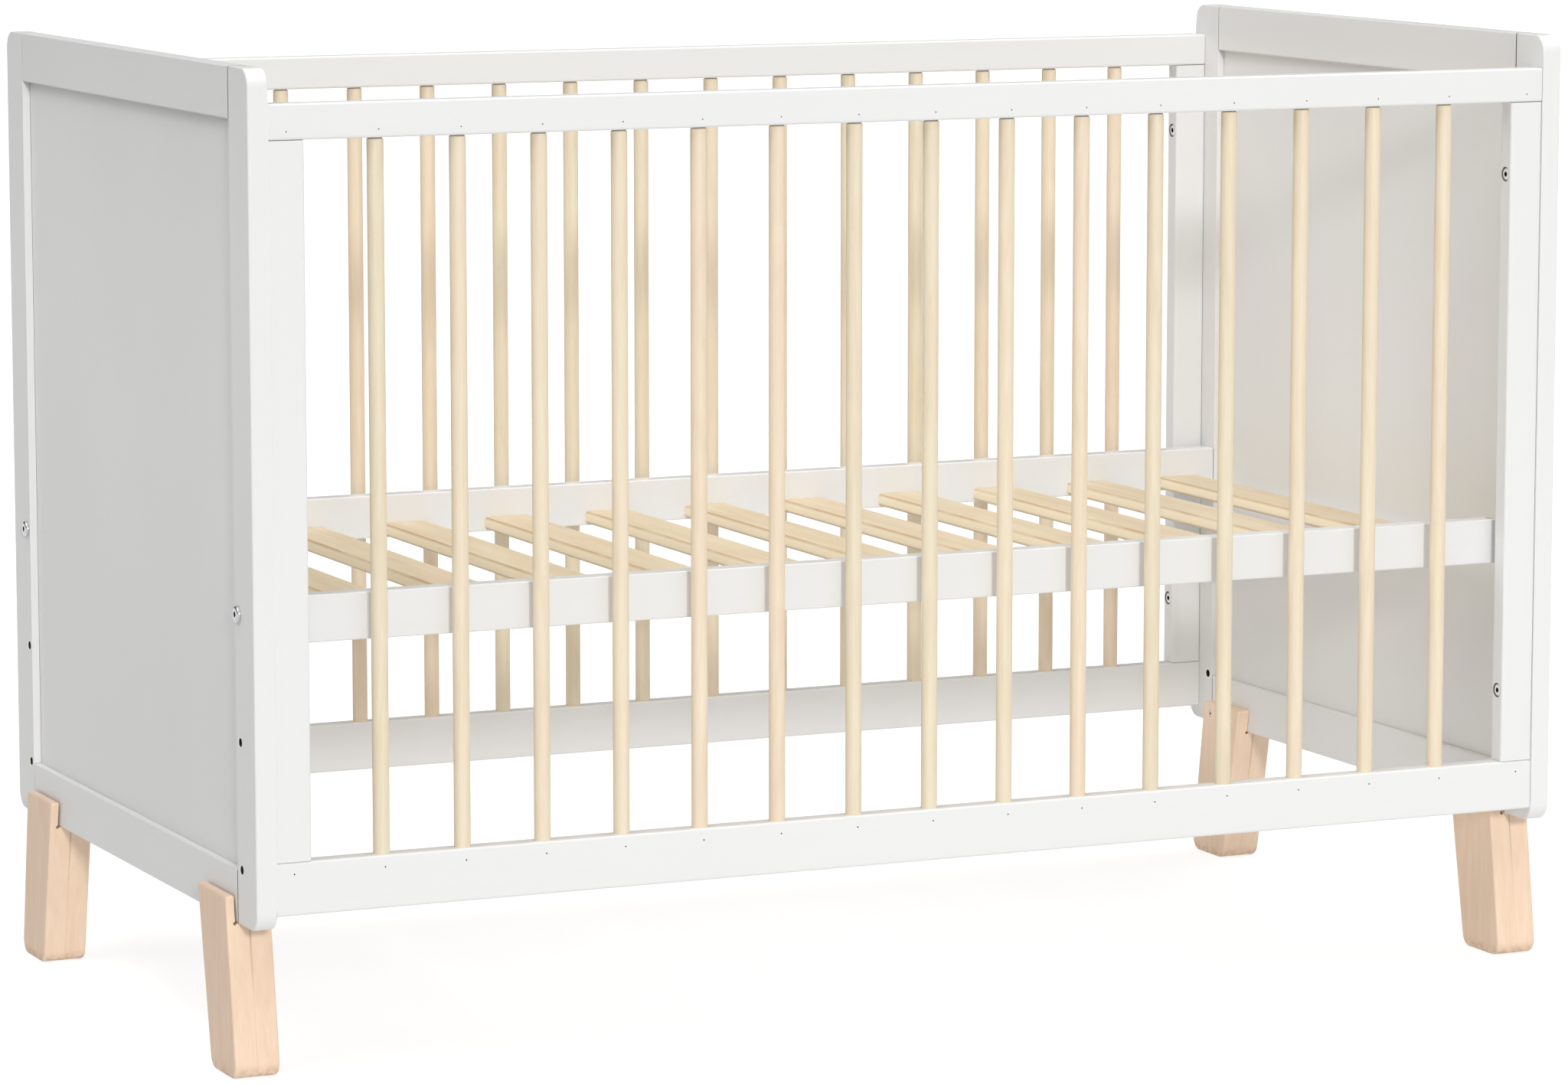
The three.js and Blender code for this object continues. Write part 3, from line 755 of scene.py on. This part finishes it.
def build_spindle(node, rail_z):
    """A turned bar, meeting the top rail at rail_z. Its top end is thinner and painted dark grey,
    as painted shade in the line below the rail.
    """
    low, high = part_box(node)
    centre = Vector(((low.x + high.x) / 2, (low.y + high.y) / 2, 0))
    shoulder = rail_z - SPINDLE_NECK
    neck = SPINDLE_RADIUS - SPINDLE_NECK_STEP
    profile = [(low.z, neck), (low.z + SPINDLE_TAPER, SPINDLE_RADIUS),
               (shoulder - SPINDLE_SHOULDER, SPINDLE_RADIUS), (shoulder, neck), (high.z, neck)]
    piece = lathe(node + ".turned", profile, "z", centre, 36)
    smooth(piece, 40)
    finish_piece(piece, spindle_wood, "crib_frame", "z", (node,))
    # Painted shade: the thinner top end is painted dark grey for the line below the rail.
    paint(piece, shaded_bore, lambda point, normal: point.z > shoulder)


def build_sides():
    for face_name, face in FACES:
        top = "side_%s_top_rail" % face_name
        bottom = "side_%s_bottom_rail" % face_name
        build_side_rail(top, face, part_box(top)[0].z + PIN_ABOVE_EDGE, pin_filler)
        build_side_rail(bottom, face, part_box(bottom)[1].z - PIN_BELOW_EDGE, dark_hole)
        for end, side in ENDS:
            build_stile("side_%s_stile_%s" % (face_name, end), side, face)
        for i in range(SPINDLES):
            build_spindle("spindle_%s_%02d" % (face_name, i + 1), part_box(top)[0].z)


# ---- Mattress base ---------------------------------------------------------------------------

def build_base_rail(node, face):
    low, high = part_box(node)
    rail = prism(node + ".board", rectangle(low.x, high.x, low.z, high.z), "y", low.y, high.y)
    round_edges(rail, BASE_EDGE)
    y = (low.y + high.y) / 2
    tools = []
    for end, side in ENDS:
        x = side * (inner_face_x - CROSS_DOWEL_FROM_END)
        profile = [(high.z - CROSS_DOWEL_RECESS, CROSS_DOWEL / 2), (high.z + BEYOND, CROSS_DOWEL / 2)]
        tools.append(lathe("dowel", profile, "z", Vector((x, y, 0)), 32))
    cut(rail, tools)
    smooth(rail)
    finish_piece(rail, white, "mattress_base", "x", (node,))
    for end, side in ENDS:
        x = side * (inner_face_x - CROSS_DOWEL_FROM_END)
        top = high.z - CROSS_DOWEL_RECESS
        profile = [(top - CROSS_DOWEL_HEIGHT, CROSS_DOWEL_RADIUS),
                   (top - CROSS_DOWEL_EDGE, CROSS_DOWEL_RADIUS),
                   (top + CROSS_DOWEL_EDGE / 2, CROSS_DOWEL_RADIUS - CROSS_DOWEL_EDGE)]
        dowel = lathe("%s.cross_dowel_%s" % (node, end), profile, "z", Vector((x, y, 0)), 24)
        smooth(dowel, 40)
        finish_piece(dowel, chrome, "mattress_base", "z")


def build_slats():
    low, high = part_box("base_slats")
    mid_z = (low.z + high.z) / 2
    for i in range(SLATS):
        x = (i - (SLATS - 1) / 2) * SLAT_PITCH
        half, half_z = SLAT_WIDTH / 2, SLAT_THICKNESS / 2
        corners = [(x - half, mid_z - half_z), (x + half, mid_z - half_z),
                   (x + half, mid_z + half_z), (x - half, mid_z + half_z)]
        slat = prism("base_slat_%02d" % (i + 1), rounded(corners, [SLAT_EDGE] * 4, 6), "y", low.y, high.y)
        smooth(slat, 40)
        finish_piece(slat, slat_wood, "mattress_base", "y", ("base_slats",) if i == 0 else ())


def build_base_bolt(node, side, face):
    y = face * (half_width - BASE_BOLT_INSET)
    z = BASE_HEIGHTS[0]
    build_head(node + ".head", side * (half_length + GAP), side, y, z, BASE_BOLT_HEAD, BASE_BOLT_HEIGHT,
               BASE_BOLT_SOCKET, chrome, stands_for=(node,))
    profile = [(x, BASE_BOLT_SHANK / 2) for x in between(side * half_length, side * (inner_face_x + GAP))]
    shank = lathe(node + ".shank", profile, "x", Vector((0, y, z)), 20)
    smooth(shank, 40)
    finish_piece(shank, chrome, "crib_frame", "x")


# ---- Legs ------------------------------------------------------------------------------------

def build_leg(node, side, face):
    low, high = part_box(node)

    def from_edge(distance):
        return face * (half_width - distance)

    corners = [(from_edge(distance), low.z) for distance in LEG_FOOT_FROM_EDGE]
    corners += [(from_edge(distance), high.z) for distance in reversed(LEG_TOP_FROM_EDGE)]
    leg = prism(node + ".block", rounded(corners, [LEG_FOOT, LEG_FOOT, 0, 0]), "x", low.x, high.x)
    round_edges(leg, LEG_EDGE)
    fork_low, fork_high = sorted((side * (inner_face_x - GAP), side * (half_length + CHEEK_CLEARANCE)))
    opening = rectangle(-THROUGH, THROUGH, FORK_BOTTOM, high.z + BEYOND)
    fork = prism("fork", opening, "x", fork_low, fork_high)
    inner_x = low.x if side > 0 else high.x
    tools = [fork]
    for x in (fork_low, fork_high):
        ends = [(-THROUGH, FORK_RELIEF), (THROUGH, FORK_RELIEF)]
        tools.append(lathe("relief", ends, "y", Vector((x, 0, FORK_BOTTOM)), 16))
    for distance in LEG_SCREWS_FROM_EDGE:
        ends = between(inner_x - side * BEYOND, inner_x + side * LEG_SCREW_RECESS)
        centre = Vector((0, from_edge(distance), LEG_SCREW_HEIGHT))
        tools.append(lathe("screw", [(x, LEG_SCREW / 2) for x in ends], "x", centre, 28))
    cut(leg, tools)
    smooth(leg)
    finish_piece(leg, leg_wood, "crib_frame", "z", (node,))
    glue = leg.data.attributes.new("glue", "FLOAT", "POINT")
    glue_x = (low.x + high.x) / 2
    glue.data.foreach_set("value", [vertex.co.x - glue_x for vertex in leg.data.vertices])
    for number, distance in enumerate(LEG_SCREWS_FROM_EDGE, 1):
        build_head("%s.screw_%d" % (node, number), inner_x + side * LEG_SCREW_RECESS, -side,
                   from_edge(distance), LEG_SCREW_HEIGHT, LEG_SCREW_HEAD, LEG_SCREW_HEAD_HEIGHT,
                   LEG_SCREW_SOCKET, zinc)


# ---- Panels keep their CAD shape and take a finer material -----------------------------------

def finish_panels():
    for end, _ in ENDS:
        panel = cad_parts["end_%s_panel" % end]
        panel.data.materials.clear()
        panel.data.materials.append(panel_white)


# ---- Floor, light and camera -----------------------------------------------------------------

def build_floor():
    """A pale floor that looks white, with faint shadows, and lights the crib less than it looks.
    From below it can't be seen."""
    disc = bmesh.new()
    bmesh.ops.create_circle(disc, cap_ends=True, radius=FLOOR_RADIUS, segments=96)
    mesh = bpy.data.meshes.new("floor")
    disc.to_mesh(mesh)
    disc.free()
    floor = new_object("floor", mesh)
    floor.location.z = -FLOOR_DROP
    g = Graph("floor_pale")
    place = g.node("ShaderNodeTexCoord").outputs["Object"]
    shade = g.mix("MIX", g.noise(place, 0.6, 2.0, 0.5), (0.36, 0.36, 0.36), (0.34, 0.34, 0.34))
    g.link(shade, g.shader.inputs["Base Color"])
    g.shader.inputs["Roughness"].default_value = 0.9
    g.shader.inputs["Specular IOR Level"].default_value = 0.0
    g.shader.inputs["Emission Color"].default_value = (1.0, 1.0, 1.0, 1.0)
    g.shader.inputs["Emission Strength"].default_value = FLOOR_GLOW
    bounce = g.node("ShaderNodeBsdfDiffuse")
    bounce.inputs["Color"].default_value = (FLOOR_BOUNCE, FLOOR_BOUNCE, FLOOR_BOUNCE, 1.0)
    fill = g.node("ShaderNodeEmission")
    fill.inputs["Strength"].default_value = FLOOR_FILL
    both = g.node("ShaderNodeAddShader")
    g.link(bounce.outputs[0], both.inputs[0])
    g.link(fill.outputs[0], both.inputs[1])
    seen = g.node("ShaderNodeMixShader")
    g.link(g.node("ShaderNodeLightPath").outputs["Is Camera Ray"], seen.inputs[0])
    g.link(both.outputs[0], seen.inputs[1])
    g.link(g.shader.outputs[0], seen.inputs[2])
    from_below = g.node("ShaderNodeMixShader")
    g.link(g.node("ShaderNodeNewGeometry").outputs["Backfacing"], from_below.inputs[0])
    g.link(seen.outputs[0], from_below.inputs[1])
    g.link(g.node("ShaderNodeBsdfTransparent").outputs[0], from_below.inputs[2])
    g.link(from_below.outputs[0], g.tree.nodes["Material Output"].inputs["Surface"])
    mesh.materials.append(g.material)


def build_shade_card():
    """A hidden dark card beside the left end, which keeps that end from being lit as the front is."""
    outline = rectangle(*CARD_ENDS, CARD_FOOT, CARD_HEIGHT)
    card = prism("shade_card", outline, "x", CARD_X - CARD_THICKNESS, CARD_X)
    g = Graph("card_dark")
    place = g.node("ShaderNodeTexCoord").outputs["Object"]
    shade = g.mix("MIX", g.noise(place, 3.0, 2.0, 0.5), (0.10, 0.10, 0.10), (0.12, 0.12, 0.12))
    g.link(shade, g.shader.inputs["Base Color"])
    g.shader.inputs["Roughness"].default_value = 0.9
    card.data.materials.append(g.material)
    card.visible_camera = False
    card.visible_glossy = False


def soft_sun(name, azimuth, elevation, strength, width):
    """A far soft light. Azimuth 0 shines from the front, -Y, and 90 from the right, +X; degrees."""
    data = bpy.data.lights.new(name, "SUN")
    data.energy = strength
    data.angle = math.radians(width)
    lamp = bpy.data.objects.new(name, data)
    bpy.context.scene.collection.objects.link(lamp)
    a, e = math.radians(azimuth), math.radians(elevation)
    back = Vector((math.sin(a) * math.cos(e), -math.cos(a) * math.cos(e), math.sin(e)))
    lamp.rotation_mode = "QUATERNION"
    lamp.rotation_quaternion = (-back).to_track_quat("-Z", "Y")


def build_light():
    world = bpy.data.worlds.new("studio")
    world.use_nodes = True
    background = world.node_tree.nodes["Background"]
    background.inputs["Color"].default_value = (1.0, 1.0, 1.0, 1.0)
    background.inputs["Strength"].default_value = WORLD_STRENGTH
    bpy.context.scene.world = world
    for name, values in SUNS.items():
        soft_sun(name, *values)


def build_camera():
    data = bpy.data.cameras.new("camera")
    data.sensor_width = 36.0
    data.lens = CAMERA_LENS
    data.clip_start = 0.1
    data.clip_end = 200.0
    camera = bpy.data.objects.new("camera", data)
    bpy.context.scene.collection.objects.link(camera)
    yaw, pitch = math.radians(CAMERA_YAW), math.radians(CAMERA_PITCH)
    forward = Vector((math.sin(yaw) * math.cos(pitch), math.cos(yaw) * math.cos(pitch), math.sin(pitch)))
    camera.location = CAMERA_PLACE
    camera.rotation_mode = "QUATERNION"
    camera.rotation_quaternion = forward.to_track_quat("-Z", "Y")
    bpy.context.scene.camera = camera


build_ends()
build_sides()
for face_name, face in FACES:
    build_base_rail("base_rail_%s" % face_name, face)
build_slats()
for end, side in ENDS:
    for face_name, face in FACES:
        build_leg("leg_%s_%s" % (face_name, end), side, face)
        build_base_bolt("base_bolt_%s_%s" % (face_name, end), side, face)
finish_panels()
build_floor()
build_shade_card()
build_light()
build_camera()
bpy.context.scene.view_settings.view_transform = "Standard"
